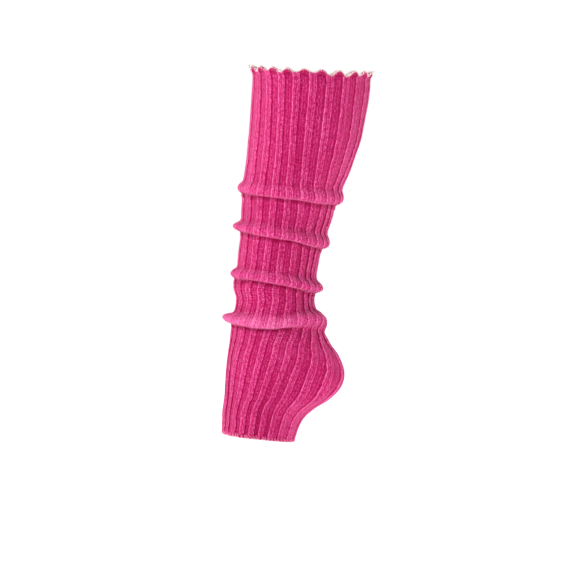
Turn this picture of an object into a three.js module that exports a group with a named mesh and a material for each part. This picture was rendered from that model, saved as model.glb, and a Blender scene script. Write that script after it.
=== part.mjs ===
// A ribbed knit leg warmer, worn slouched from below the knee, over the ankle, to the middle of the foot.
// Millimetres. +Z is up, the shin side faces -Y, the heel side faces +Y, and X runs from side to side.
// The origin is the centre of the ring where the calf holds the cloth, a little below the top edge.

import * as THREE from 'three';

// The rib knit: how many raised ribs go round, and how thick the cloth is.
const RIB_COUNT = 22;
const RIB_RISE = 1.4;
const FURROW_WALL = 1.6;

// Where the four outer points of one rib lie, as shares of its pitch: a furrow's middle is at 0.
const FURROW_HALF = 0.19;
const RIB_EDGE = 0.29;
const RIB_PHASES = [FURROW_HALF, RIB_EDGE, 1 - RIB_EDGE, 1 - FURROW_HALF];
const EDGE_PHASES = [0, 0.25, 0.5, 0.75];
const INNER_PHASES = [0, 0.5];

// The measured outline is the top of the ribs: the furrows and the inner face lie inside it.
const RIB_TOP = 0.4;
const FURROW_FLOOR = RIB_TOP - RIB_RISE;
const INNER_FACE = FURROW_FLOOR - FURROW_WALL;

// The lettuce edge at the top: one wave a rib, which dies out further down, and leans outwards.
const EDGE_WAVE = 1.9;
const EDGE_FLARE = 2.4;
const HEM_CURL = 0.5;

// The overlock thread that binds both edges, and its gap to the knit.
const THREAD_GAP = 0.42;
const THREAD_HALF_HEIGHT = 0.6;
const THREAD_HALF_WIDTH = 1.5;
const THREAD_SIDES = 6;

const KNIT_PINK = 0xd5427f;
const THREAD_CREAM = 0xf2eee2;

// Cross-sections down the leg, each an oval ring from shin to heel side.
// drop: how far its centre lies below the origin. centre: how far its centre lies towards the heel side.
// depth: shin to heel side. width: side to side. tilt: degrees that its heel side hangs lower.
// dip: how far its two sides hang below its shin and heel points.
const SECTION_TABLE = {
  'top edge': { drop: -16, centre: 0.5, depth: 118, width: 107, tilt: 2, dip: 1 },
  'hold': { drop: 0, centre: 0, depth: 117, width: 107, tilt: 3, dip: 1 },
  'calf': { drop: 45.5, centre: -5.5, depth: 112.5, width: 103, tilt: 3.5, dip: 1 },
  'low calf': { drop: 78, centre: -12.5, depth: 105, width: 97, tilt: 4.5, dip: 1 },
  'fold 1': { drop: 107, centre: -21, depth: 95, width: 87, tilt: 6.5, dip: -0.5 },
  'gap 1': { drop: 125, centre: -24, depth: 91, width: 82, tilt: 7.5, dip: 0.5 },
  'fold 2': { drop: 148.5, centre: -29, depth: 83.5, width: 77, tilt: 11, dip: -1.8 },
  'gap 2': { drop: 168, centre: -32, depth: 81, width: 73, tilt: 9, dip: -1 },
  'fold 3': { drop: 194.5, centre: -35.5, depth: 79, width: 70, tilt: 10.2, dip: -3.2 },
  'swell': { drop: 205.5, centre: -37.2, depth: 81, width: 69, tilt: 8, dip: -1.5 },
  'gap 3': { drop: 216, centre: -35.5, depth: 78, width: 68, tilt: 5, dip: -1 },
  'fold 4': { drop: 235, centre: -35, depth: 87, width: 70, tilt: 3.5, dip: 0 },
  'ankle': { drop: 247.5, centre: -32.5, depth: 95.5, width: 72, tilt: 3, dip: 0 },
  'heel top': { drop: 257, centre: -30.5, depth: 102, width: 73, tilt: 2.5, dip: 0 },
  'heel back': { drop: 268, centre: -27, depth: 111.5, width: 73, tilt: 2.5, dip: 0 },
  'heel': { drop: 280.5, centre: -25, depth: 118, width: 73, tilt: 3.5, dip: 0 },
  'heel ball': { drop: 292, centre: -27, depth: 116.5, width: 72, tilt: 4.2, dip: 0 },
  'heel turn': { drop: 302, centre: -31, depth: 110, width: 71, tilt: 4.2, dip: 0 },
  'sole start': { drop: 311.5, centre: -36, depth: 100.5, width: 71, tilt: 4, dip: 0 },
  'arch': { drop: 319.5, centre: -41.5, depth: 91.5, width: 71, tilt: 3.5, dip: 0 },
  'instep': { drop: 328, centre: -47, depth: 82.5, width: 72, tilt: 3.5, dip: 0 },
  'mid foot': { drop: 337, centre: -50, depth: 77, width: 74, tilt: 4, dip: 0 },
  'hem': { drop: 350, centre: -53, depth: 73, width: 76, tilt: 6.5, dip: -1.2 },
};

// How the ribs run on each section: degrees that they are moved round from an even spacing.
// lean: the ribs at the two sides, towards the heel side. crowd: those next to the shin and the heel side,
// towards the two sides. bunch: those a sixth of the way round, with the middle ones moved back.
const RIB_FLOW_TABLE = {
  'top edge': { lean: 2, crowd: -0.5, bunch: 1 },
  'hold': { lean: 3, crowd: 0, bunch: 1.5 },
  'calf': { lean: 5.5, crowd: 0.5, bunch: 3 },
  'low calf': { lean: 9.5, crowd: 1, bunch: 2.5 },
  'fold 1': { lean: 16, crowd: -0.5, bunch: 1.5 },
  'gap 1': { lean: 18, crowd: -1, bunch: 1 },
  'fold 2': { lean: 20, crowd: -1, bunch: 0.5 },
  'gap 2': { lean: 21, crowd: -1.5, bunch: 0 },
  'fold 3': { lean: 21.5, crowd: -2.5, bunch: -1 },
  'swell': { lean: 20.5, crowd: -3.5, bunch: -1.5 },
  'gap 3': { lean: 18.5, crowd: -4, bunch: -1.5 },
  'fold 4': { lean: 9.5, crowd: -2, bunch: -1 },
  'ankle': { lean: 0.5, crowd: 0.5, bunch: -1.5 },
  'heel top': { lean: -6.5, crowd: 3, bunch: -2 },
  'heel back': { lean: -13.5, crowd: 4, bunch: -3.5 },
  'heel': { lean: -19.5, crowd: 6, bunch: -4.5 },
  'heel ball': { lean: -22, crowd: 7, bunch: -5 },
  'heel turn': { lean: -22.5, crowd: 6.5, bunch: -4.5 },
  'sole start': { lean: -22, crowd: 6, bunch: -4.5 },
  'arch': { lean: -20.5, crowd: 5, bunch: -4 },
  'instep': { lean: -17.5, crowd: 3, bunch: -3.5 },
  'mid foot': { lean: -15.5, crowd: 2, bunch: -3 },
  'hem': { lean: -15.5, crowd: 2, bunch: -3 },
};
const SECTIONS = Object.entries(SECTION_TABLE).map(([name, sizes]) => (
  { name, ...sizes, ...RIB_FLOW_TABLE[name] }
));

// The slouch folds: rolls of cloth that hang over a tight crease.
// proud: how far the roll stands out. height: how tall it is.
// Each is given at the shin, the near side (+X), the heel side and the far side.
const FOLDS = [
  { at: 'fold 1', proud: [5.3, 4.6, 7.5, 5.2], height: [12, 12, 14, 12] },
  { at: 'fold 2', proud: [7.5, 4.8, 7.5, 5.6], height: [11, 10.5, 14, 12] },
  { at: 'fold 3', proud: [7.2, 4.8, 9.6, 5.4], height: [10.5, 10, 12.5, 11] },
  { at: 'fold 4', proud: [12, 5.4, 9.5, 6.0], height: [10.5, 12, 20, 13] },
];

// One fold's outer profile, from above it to below it.
// place: share of its height. lift: share of how far it stands out. relief: share of the rib's rise.
// endPlace and endLift: the same two at the shin and the heel side, where the roll stands out like a nose.
const FOLD_OUTSIDE = [
  { place: -0.95, lift: 0, endPlace: -0.9, endLift: 0, relief: 1 },
  { place: -0.45, lift: 0.48, endPlace: -0.46, endLift: 0.38, relief: 1 },
  { place: -0.12, lift: 0.92, endPlace: -0.24, endLift: 0.83, relief: 0.9 },
  { place: 0.16, lift: 1, endPlace: 0.05, endLift: 1, relief: 0.8 },
  { place: 0.37, lift: 0.6, endPlace: 0.31, endLift: 0.66, relief: 0.7 },
  { place: 0.34, lift: 0.1, endPlace: 0.44, endLift: 0.16, relief: 0.5 },
  { place: 0.55, lift: 0, endPlace: 0.7, endLift: 0, relief: 1 },
];
const FOLD_INSIDE = [
  { place: -0.6, lift: 0, endPlace: -0.6, endLift: 0 },
  { place: -0.15, lift: 0.5, endPlace: -0.15, endLift: 0.5 },
  { place: 0.12, lift: 0.45, endPlace: 0.12, endLift: 0.45 },
  { place: 0.3, lift: 0, endPlace: 0.3, endLift: 0 },
];

// How the knit behaves near its two ends, by distance from the edge.
// wave, flare and curl are shares of the lettuce edge's wave and flare and of the hem's curl.
const TOP_OUTSIDE = [
  { from: 0, wave: 1, flare: 1, relief: 0.4 },
  { from: 2.4, wave: 0.5, flare: 0.5, relief: 1 },
  { from: 5.5, wave: 0.12, flare: 0.12, relief: 1 },
  { from: 10, wave: 0, flare: 0, relief: 1 },
];
const TOP_INSIDE = [
  { from: 0, wave: 1, flare: 1 },
  { from: 5, wave: 0.15, flare: 0.15 },
  { from: 12, wave: 0, flare: 0 },
];
const HEM_OUTSIDE = [
  { from: 4, curl: 0.25, relief: 0.9 },
  { from: 0, curl: 1, relief: 0.4 },
];

// Plain stretches: distances from the top edge on the calf, and sections that a ring follows below it.
const PLAIN_RINGS = [28, 50, 72, 94];
const GAP_RINGS = [['gap 1'], ['gap 2'], ['swell', 'gap 3'], []];
const HEEL_RINGS = ['heel top', 'heel back', 'heel', 'heel ball', 'heel turn'];
const SOLE_RINGS = ['sole start', 'arch', 'instep', 'mid foot'];
const FOOT_INNER_RINGS = ['heel top', 'heel back', 'heel', 'heel ball', 'sole start', 'instep', 'mid foot'];

const COLUMNS = ['drop', 'centre', 'depth', 'width', 'tilt', 'dip', 'lean', 'crowd', 'bunch'];
const PROBE = 0.05;

const radians = THREE.MathUtils.degToRad;

// Distance down the leg to each section, from centre to centre.
const ALONG = SECTIONS.reduce((list, section, i) => {
  if (i === 0) return [0];
  const above = SECTIONS[i - 1];
  const step = Math.hypot(section.drop - above.drop, section.centre - above.centre);
  return [...list, list[i - 1] + step];
}, []);
const LENGTH = ALONG[ALONG.length - 1];

function alongOf(name) {
  return ALONG[SECTIONS.findIndex((section) => section.name === name)];
}

// A section's sizes anywhere down the leg: a smooth curve through each column of the table.
function sectionAt(along) {
  const last = SECTIONS.length - 1;
  const found = ALONG.findIndex((end) => end > along);
  const i = found < 1 ? (found === 0 ? 0 : last - 1) : found - 1;
  const span = ALONG[i + 1] - ALONG[i];
  const u = (along - ALONG[i]) / span;
  const slope = (column, k) => {
    const a = Math.max(k - 1, 0);
    const b = Math.min(k + 1, last);
    return (SECTIONS[b][column] - SECTIONS[a][column]) / (ALONG[b] - ALONG[a]);
  };
  const section = {};
  for (const column of COLUMNS) {
    const from = SECTIONS[i][column];
    const to = SECTIONS[i + 1][column];
    const rise = slope(column, i) * span;
    const fall = slope(column, i + 1) * span;
    section[column] = from * (1 - u) ** 2 * (1 + 2 * u) + to * u ** 2 * (3 - 2 * u)
      + rise * u * (1 - u) ** 2 - fall * u ** 2 * (1 - u);
  }
  return section;
}

// The smooth surface that the knit is stretched on: turn is 0 at the shin and a half turn at the heel side.
function surfacePoint(along, turn) {
  const { drop, centre, depth, width, tilt, dip } = sectionAt(along);
  const reach = -Math.cos(turn) * depth / 2;
  const y = centre + reach * Math.cos(radians(tilt));
  const z = -drop - reach * Math.sin(radians(tilt)) - dip * Math.sin(turn) ** 2;
  return new THREE.Vector3(Math.sin(turn) * width / 2, y, z);
}

// A point raised from that surface by lift, along its normal.
function raisedPoint(along, turn, lift) {
  const point = surfacePoint(along, turn);
  const around = surfacePoint(along, turn + PROBE).sub(surfacePoint(along, turn - PROBE));
  const up = surfacePoint(along - PROBE, turn).sub(surfacePoint(along + PROBE, turn));
  return point.addScaledVector(around.cross(up).normalize(), lift);
}

// Where a rib's line lies on a section: the table's lean, crowd and bunch move it from an even spacing.
function turnOf(rib, along) {
  const even = 2 * Math.PI * rib / RIB_COUNT;
  const { lean, crowd, bunch } = sectionAt(along);
  const moved = lean * Math.sin(even) + crowd * Math.sin(2 * even) + bunch * Math.sin(3 * even);
  return even + radians(moved);
}

// Blends four values, at the shin, near side, heel side and far side, round the leg.
function roundLeg([shin, near, heel, far], turn) {
  const side = Math.sin(turn) > 0 ? near : far;
  const end = Math.cos(turn) > 0 ? shin : heel;
  return end * Math.cos(turn) ** 2 + side * Math.sin(turn) ** 2;
}

const isRaised = (phase) => phase >= RIB_EDGE && phase <= 1 - RIB_EDGE;

// How far an outer point lies from the outline: on a rib's top, or on a furrow's floor.
function knitLift(phase, relief) {
  const rib = isRaised(phase) ? RIB_RISE : 0;
  return FURROW_FLOOR + rib * relief + RIB_RISE * (1 - relief) / 2;
}

// A ring of the outer face, from a rule that gives each point's distance down the leg and its lift.
function ring(phases, rule) {
  const points = [];
  for (let rib = 0; rib < RIB_COUNT; rib += 1) {
    for (const phase of phases) {
      const { along, lift } = rule(rib + phase, phase);
      points.push(raisedPoint(along, turnOf(rib + phase, along), lift));
    }
  }
  return points;
}

const plainOutside = (along) => ring(RIB_PHASES, (rib, phase) => ({ along, lift: knitLift(phase, 1) }));
const plainInside = (along) => ring(INNER_PHASES, () => ({ along, lift: INNER_FACE }));

function foldRing(fold, station, phases, liftOf) {
  const middle = alongOf(fold.at);
  return ring(phases, (rib, phase) => {
    const turn = turnOf(rib, middle);
    const end = Math.cos(turn) ** 4;
    const place = station.place * (1 - end) + station.endPlace * end;
    const out = station.lift * (1 - end) + station.endLift * end;
    return {
      along: middle + place * roundLeg(fold.height, turn),
      lift: liftOf(phase) + out * roundLeg(fold.proud, turn),
    };
  });
}

const foldOutside = (fold, station) => foldRing(
  fold,
  station,
  RIB_PHASES,
  (phase) => knitLift(phase, station.relief),
);
const foldInside = (fold, station) => foldRing(fold, station, INNER_PHASES, () => INNER_FACE);

// The wavy top: crests stand on the furrows and troughs on the ribs.
function topRing(station, phases, liftOf, above = 0) {
  return ring(phases, (rib, phase) => {
    const crest = Math.cos(2 * Math.PI * phase);
    const along = EDGE_WAVE * (1 - crest * station.wave) + station.from - above;
    return { along, lift: liftOf(phase) + EDGE_FLARE * station.flare * (1 + crest / 2) };
  });
}

const topOutside = (station) => topRing(
  station,
  station.from === 0 ? EDGE_PHASES : RIB_PHASES,
  (phase) => knitLift(phase, station.relief),
);
const topInside = (station) => topRing(station, INNER_PHASES, () => INNER_FACE);

const hemOutside = (station) => ring(
  station.from === 0 ? EDGE_PHASES : RIB_PHASES,
  (rib, phase) => ({
    along: LENGTH - station.from,
    lift: knitLift(phase, station.relief) - HEM_CURL * station.curl,
  }),
);
const hemInside = () => ring(INNER_PHASES, () => ({ along: LENGTH, lift: INNER_FACE - HEM_CURL }));

// Rings of the knit, from the top edge to the hem.
function outsideRings() {
  const rings = TOP_OUTSIDE.map(topOutside);
  rings.push(...PLAIN_RINGS.map(plainOutside));
  FOLDS.forEach((fold, i) => {
    rings.push(...FOLD_OUTSIDE.map((station) => foldOutside(fold, station)));
    rings.push(...GAP_RINGS[i].map((name) => plainOutside(alongOf(name))));
  });
  rings.push(...[...HEEL_RINGS, ...SOLE_RINGS].map((name) => plainOutside(alongOf(name))));
  rings.push(...HEM_OUTSIDE.map(hemOutside));
  return rings;
}

function insideRings() {
  const rings = TOP_INSIDE.map(topInside);
  rings.push(plainInside(PLAIN_RINGS[1]), plainInside(PLAIN_RINGS[3]));
  FOLDS.forEach((fold, i) => {
    rings.push(...FOLD_INSIDE.map((station) => foldInside(fold, station)));
    rings.push(...GAP_RINGS[i].map((name) => plainInside(alongOf(name))));
  });
  rings.push(...FOOT_INNER_RINGS.map((name) => plainInside(alongOf(name))));
  rings.push(hemInside());
  return rings;
}

// Joins two rings that have different counts of points, the first outside the second, facing up the leg.
function bridge(outer, inner) {
  const triangles = [];
  let i = 0;
  let j = 0;
  const at = (list, k) => list[k % list.length];
  while (i < outer.length || j < inner.length) {
    const outerFirst = (i + 1) / outer.length <= (j + 1) / inner.length && i < outer.length;
    if (outerFirst) {
      triangles.push([at(outer, i), at(outer, i + 1), at(inner, j)]);
      i += 1;
    } else {
      triangles.push([at(outer, i), at(inner, j + 1), at(inner, j)]);
      j += 1;
    }
  }
  return triangles;
}

// Joins two rings of one count, the first above the second, facing away from the leg.
function band(above, below) {
  return above.flatMap((a, k) => {
    const next = (k + 1) % above.length;
    return [[below[k], below[next], above[next]], [below[k], above[next], a]];
  });
}

const turnedOver = (triangles) => triangles.map(([a, b, c]) => [a, c, b]);

// Numbers the points of a list of rings, so that triangles can name them.
function numberRings(rings, start) {
  let next = start;
  return rings.map((points) => points.map(() => next++));
}

function toGeometry(points, triangles) {
  const geometry = new THREE.BufferGeometry();
  const numbers = points.flatMap((point) => point.toArray());
  geometry.setAttribute('position', new THREE.Float32BufferAttribute(numbers, 3));
  geometry.setIndex(triangles.flat());
  geometry.computeVertexNormals();
  return geometry;
}

// The knitted tube: a ribbed face outside, a plain one inside, and its two cut edges.
function tubeGeometry() {
  const outside = outsideRings();
  const inside = insideRings();
  const outer = numberRings(outside, 0);
  const inner = numberRings(inside, outside.flat().length);
  const triangles = [
    ...outer.slice(1).flatMap((below, i) => band(outer[i], below)),
    ...turnedOver(inner.slice(1).flatMap((below, i) => band(inner[i], below))),
    ...bridge(outer[0], inner[0]),
    ...turnedOver(bridge(outer[outer.length - 1], inner[inner.length - 1])),
  ];
  return toGeometry([...outside.flat(), ...inside.flat()], triangles);
}

// A bead of binding thread that follows an edge: centres and the two directions of its oval section.
function threadGeometry(centres, outwards, upwards) {
  const points = [];
  for (let side = 0; side < THREAD_SIDES; side += 1) {
    const angle = 2 * Math.PI * side / THREAD_SIDES;
    centres.forEach((centre, k) => {
      const out = outwards[k].clone().multiplyScalar(THREAD_HALF_WIDTH * Math.cos(angle));
      const up = upwards[k].clone().multiplyScalar(THREAD_HALF_HEIGHT * Math.sin(angle));
      points.push(centre.clone().add(out).add(up));
    });
  }
  const count = centres.length;
  const rowOf = (side) => centres.map((_, k) => (side % THREAD_SIDES) * count + k);
  const sides = Array.from({ length: THREAD_SIDES }, (_, side) => side);
  const triangles = sides.flatMap((side) => band(rowOf(side + 1), rowOf(side)));
  return toGeometry(points, triangles);
}

// The thread's middle line sits on the middle of the wall, its own half height and the gap past the edge.
function edgeThread(ruleFor) {
  const middle = (FURROW_FLOOR + INNER_FACE) / 2 + RIB_RISE / 4;
  const centres = ruleFor(middle);
  const outwards = ruleFor(middle + 1).map((point, k) => point.clone().sub(centres[k]).normalize());
  const arounds = centres.map((point, k) => {
    const ahead = centres[(k + 1) % centres.length];
    const behind = centres[(k + centres.length - 1) % centres.length];
    return ahead.clone().sub(behind).normalize();
  });
  const upwards = outwards.map((out, k) => out.clone().cross(arounds[k]).normalize());
  return threadGeometry(centres, outwards, upwards);
}

const THREAD_REACH = THREAD_GAP + THREAD_HALF_HEIGHT;
const topThread = () => edgeThread(
  (lift) => topRing(TOP_OUTSIDE[0], EDGE_PHASES, () => lift, THREAD_REACH),
);
const hemThread = () => edgeThread((lift) => ring(
  EDGE_PHASES,
  () => ({ along: LENGTH + THREAD_REACH, lift: lift - HEM_CURL }),
));

function piece(name, geometry, color, roughness) {
  const material = new THREE.MeshStandardMaterial({ color, roughness, metalness: 0 });
  const mesh = new THREE.Mesh(geometry, material);
  mesh.name = name;
  return mesh;
}

const legWarmer = new THREE.Group();
legWarmer.add(piece('leg_tube', tubeGeometry(), KNIT_PINK, 0.95));
legWarmer.add(piece('top_edge_thread', topThread(), THREAD_CREAM, 0.8));
legWarmer.add(piece('hem_thread', hemThread(), THREAD_CREAM, 0.8));

export default legWarmer;
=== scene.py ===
"""A ribbed knit leg warmer, worn slouched from below the knee, over the ankle, to the middle of the foot.

Lengths are metres and angles are radians unless a name says mm or deg. +Z runs up the leg, -Y is the shin
side, +Y is the heel side and X runs from side to side. The origin is the ring where the calf holds the cloth.
"""

import logging
import math
from dataclasses import astuple, dataclass, field
from enum import Enum
from typing import Callable, Optional, Sequence, Union

import bpy
import numpy as np
from mathutils import Matrix, Vector


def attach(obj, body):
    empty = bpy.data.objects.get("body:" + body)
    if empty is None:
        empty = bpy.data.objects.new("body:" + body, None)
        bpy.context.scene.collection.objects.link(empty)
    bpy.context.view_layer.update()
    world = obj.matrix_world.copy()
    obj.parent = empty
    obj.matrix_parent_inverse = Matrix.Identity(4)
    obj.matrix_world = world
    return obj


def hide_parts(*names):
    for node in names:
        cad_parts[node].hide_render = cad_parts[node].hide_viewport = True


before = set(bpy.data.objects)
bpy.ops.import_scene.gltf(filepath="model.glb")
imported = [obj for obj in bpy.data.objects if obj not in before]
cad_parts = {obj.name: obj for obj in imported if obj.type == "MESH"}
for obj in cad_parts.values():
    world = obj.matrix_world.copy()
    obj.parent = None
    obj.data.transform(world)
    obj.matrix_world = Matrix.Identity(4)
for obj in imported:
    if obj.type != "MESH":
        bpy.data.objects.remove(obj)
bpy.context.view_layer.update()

LOG = logging.getLogger("leg_warmer")
MM = 0.001
TURN = 2.0 * math.pi

Array = np.ndarray
Piece = bpy.types.Object


def smooth(edge0: float, edge1: float, value: Array) -> Array:
    """A smooth rise from 0 at edge0 to 1 at edge1: 3t^2 - 2t^3 of the clamped share t."""
    t = np.clip((value - edge0) / (edge1 - edge0), 0.0, 1.0)
    return t * t * (3.0 - 2.0 * t)


def unit(vectors: Array) -> Array:
    """The same directions, each with a length of 1."""
    return vectors / np.linalg.norm(vectors, axis=-1, keepdims=True)


def hump(value: Array, middle: float, width: float) -> Array:
    """A smooth hump, 1 at its middle: exp(-((value - middle) / width)^2)."""
    return np.exp(-(((value - middle) / width) ** 2))


def through_points(places: Sequence[float], values: Array, at: Array) -> Array:
    """A smooth curve through points: cubic pieces whose slope at a point is that between its two neighbours.

    Args:
        places: Where the points lie, rising.
        values: One row of numbers for each place.
        at: Where the curve is read.

    Returns:
        One row of numbers for each place read.
    """
    x = np.asarray(places, float)
    y = np.asarray(values, float).reshape(len(x), -1)
    ahead = np.minimum(np.arange(len(x)) + 1, len(x) - 1)
    behind = np.maximum(np.arange(len(x)) - 1, 0)
    slope = (y[ahead] - y[behind]) / (x[ahead] - x[behind])[:, None]
    i = np.clip(np.searchsorted(x, at, side="right") - 1, 0, len(x) - 2)
    span = (x[i + 1] - x[i])[..., None]
    u = (np.asarray(at, float) - x[i])[..., None] / span
    held = y[i] * (1 - u) ** 2 * (1 + 2 * u) + y[i + 1] * u**2 * (3 - 2 * u)
    return held + slope[i] * span * u * (1 - u) ** 2 - slope[i + 1] * span * u**2 * (1 - u)


@dataclass(frozen=True)
class Ripple:
    """Slow, uneven waves over a surface: a sum of sines round the leg and down it, the same ones each run."""

    seed: int
    height: float
    round_waves: int
    down_wavelength: float
    terms: int = 10

    def at(self, turn: Array, along: Array) -> Array:
        """The waves' height: a sum of sin(k * turn + pace * along + shift), with k, pace and shift drawn.

        Args:
            turn: Angle round the leg.
            along: Distance down the leg.

        Returns:
            Heights, of the two arguments' shape.
        """
        draw = np.random.default_rng(self.seed)
        total = np.zeros(np.broadcast(turn, along).shape)
        for _ in range(self.terms):
            waves = int(draw.integers(1, self.round_waves + 1))
            pace = TURN / (self.down_wavelength * draw.uniform(0.6, 1.8)) * draw.choice([-1.0, 1.0])
            total += np.sin(waves * turn + pace * along + draw.uniform(0.0, TURN))
        return self.height * total / math.sqrt(self.terms)


@dataclass(frozen=True)
class Section:
    """One oval ring down the leg: five sizes in mm, then its tilt and its ribs' shifts in degrees."""

    name: str
    drop: float
    centre: float
    depth: float
    width: float
    dip: float
    tilt: float
    lean: float
    crowd: float
    bunch: float


# Columns: name, drop, centre, depth, width, dip, tilt, lean, crowd, bunch.
SECTIONS = (
    Section("top edge", -17, 0.5, 118, 107, 1, 3, 2, -0.5, 1),
    Section("hold", 0, 0, 117, 107, 1, 3, 3, 0, 1.5),
    Section("calf", 45.5, -5.5, 112.5, 103, 1, 3.5, 5.5, 0.5, 3),
    Section("low calf", 78, -12.5, 105, 97, 1, 4.5, 9.5, 1, 2.5),
    Section("fold 1", 107, -21, 95, 87, -0.5, 6.5, 16, -0.5, 1.5),
    Section("gap 1", 125, -24, 91, 82, 0.5, 7.5, 18, -1, 1),
    Section("fold 2", 148.5, -29, 83.5, 77, -1.8, 11, 20, -1, 0.5),
    Section("gap 2", 168, -32, 81, 73, -1, 9, 21, -1.5, 0),
    Section("fold 3", 194.5, -35.5, 79, 70, -3.2, 10.2, 21.5, -2.5, -1),
    Section("swell", 205.5, -37.2, 81, 69, -1.5, 8, 20.5, -3.5, -1.5),
    Section("gap 3", 216, -35.5, 78, 68, -1, 5, 18.5, -4, -1.5),
    Section("fold 4", 235, -35, 87, 70, 1.5, 3, 9.5, -2, -1),
    Section("ankle", 247.5, -32.5, 95.5, 72, 0, 3, 0.5, 0.5, -1.5),
    Section("heel top", 257, -30.5, 102, 73, 0, 2.5, -6.5, 3, -2),
    Section("heel back", 268, -27, 111.5, 73, 0, 2.5, -13.5, 4, -3.5),
    Section("heel", 280.5, -25, 118, 73, 0, 3.5, -19.5, 6, -4.5),
    Section("heel ball", 292, -26.3, 118, 72, 0, 4.2, -22, 7, -5),
    Section("heel turn", 302, -29.7, 112.5, 71, 0, 4.2, -22.5, 6.5, -4.5),
    Section("sole start", 311.5, -34.8, 103, 71, 0, 4, -22, 6, -4.5),
    Section("arch", 319.5, -41.5, 91.5, 71, 0, 3.5, -20.5, 5, -4),
    Section("instep", 328, -47, 82.5, 72, 0, 3.5, -17.5, 3, -3.5),
    Section("mid foot", 337, -50, 77, 74, 0, 4, -15.5, 2, -3),
    Section("hem", 351.5, -53, 73, 76, -1.2, 6.5, -15.5, 2, -3),
)


@dataclass(frozen=True)
class SlouchFold:
    """One roll of cloth over a tight crease, in mm: four values each, at shin, near, heel and far side.

    Its crest highlight share says how much its crest's colour is lightened by painted highlight.
    """

    at: str
    proud: tuple[float, float, float, float]
    height: tuple[float, float, float, float]
    seed: int
    crest_highlight: float


FOLDS = (
    SlouchFold("fold 1", proud=(5.3, 4.6, 7.5, 5.2), height=(12, 12, 15.5, 12), seed=3, crest_highlight=0.38),
    SlouchFold("fold 2", proud=(7.5, 4.8, 7.5, 5.6), height=(11, 10.5, 15.5, 12), seed=5, crest_highlight=0.42),
    SlouchFold("fold 3", proud=(7.2, 4.8, 9.6, 5.4), height=(10.5, 10, 13.5, 11), seed=8, crest_highlight=0.48),
    SlouchFold("fold 4", proud=(12, 5.4, 9.5, 6.0), height=(10.5, 12, 21.5, 13), seed=13, crest_highlight=1.0),
)


@dataclass(frozen=True)
class LegForm:
    """The smooth hollow form that the knit is stretched on, from the table of sections."""

    sections: tuple[Section, ...] = SECTIONS
    ribs: int = 22
    probe: float = 0.05 * MM
    probe_turn: float = 0.001

    @property
    def columns(self) -> Array:
        """The table's numbers, one row for each section, in metres and radians."""
        numbers = np.array([astuple(section)[1:] for section in self.sections], float)
        return np.hstack([numbers[:, :5] * MM, np.radians(numbers[:, 5:])])

    @property
    def places(self) -> Array:
        """Distance down the leg to each section: the sum of the steps between the rings' centres."""
        middle = self.columns[:, :2]
        return np.concatenate([[0.0], np.cumsum(np.hypot(*np.diff(middle, axis=0).T))])

    @property
    def length(self) -> float:
        """Distance down the leg from the top edge to the hem."""
        return float(self.places[-1])

    def along_of(self, name: str) -> float:
        """Distance down the leg to a named section."""
        return float(self.places[[s.name for s in self.sections].index(name)])

    def read(self, along: Array) -> Array:
        """The table's numbers at any distance down the leg, on a smooth curve through its rows."""
        return through_points(self.places, self.columns, along)

    def surface(self, along: Array, turn: Array) -> Array:
        """A point of the form: centre - cos(turn) * half the depth, tilted, and sin(turn) * half the width.

        Args:
            along: Distance down the leg.
            turn: Angle round it, 0 at the shin and pi at the heel side.

        Returns:
            Points, with a last axis of x, y and z.
        """
        drop, centre, depth, width, dip, tilt = np.moveaxis(self.read(along)[..., :6], -1, 0)
        reach = -np.cos(turn) * depth / 2
        y = centre + reach * np.cos(tilt)
        z = -drop - reach * np.sin(tilt) - dip * np.sin(turn) ** 2
        return np.stack([np.sin(turn) * width / 2, y, z], axis=-1)

    def normal(self, along: Array, turn: Array) -> Array:
        """The form's outward normal, from small steps round the leg and down it.

        Args:
            along: Distance down the leg.
            turn: Angle round it.

        Returns:
            Unit normals.
        """
        step, angle = self.probe, self.probe_turn
        around = self.surface(along, turn + angle) - self.surface(along, turn - angle)
        up = self.surface(along - step, turn) - self.surface(along + step, turn)
        return unit(np.cross(around, up))

    def raised(self, along: Array, turn: Array, lift: Array) -> Array:
        """A point of the form, moved out along its normal by lift."""
        return self.surface(along, turn) + self.normal(along, turn) * lift[..., None]

    def turn_of(self, rib: Array, along: Array) -> Array:
        """Where a rib lies: even, moved by lean * sin, crowd * sin of twice and bunch * sin of thrice."""
        even = TURN * rib / self.ribs
        lean, crowd, bunch = np.moveaxis(self.read(along)[..., 6:9], -1, 0)
        return even + lean * np.sin(even) + crowd * np.sin(2 * even) + bunch * np.sin(3 * even)

    @staticmethod
    def round_leg(values: Sequence[float], turn: Array) -> Array:
        """Blends values at the shin, near side, heel side and far side by the squares of cos and sin."""
        shin, near, heel, far = values
        side = np.where(np.sin(turn) > 0, near, far)
        end = np.where(np.cos(turn) > 0, shin, heel)
        return end * np.cos(turn) ** 2 + side * np.sin(turn) ** 2


class Face(Enum):
    """The two faces of the cloth."""

    OUTSIDE = "outside"
    INSIDE = "inside"


# One row of a face: its place down the leg, its shape, its rib relief and its share of crease shade. Its
# shape is place and lift at the sides, then place and lift at the ends, each with a number for every fold.
Row = tuple[float, Array, float, float]


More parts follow.
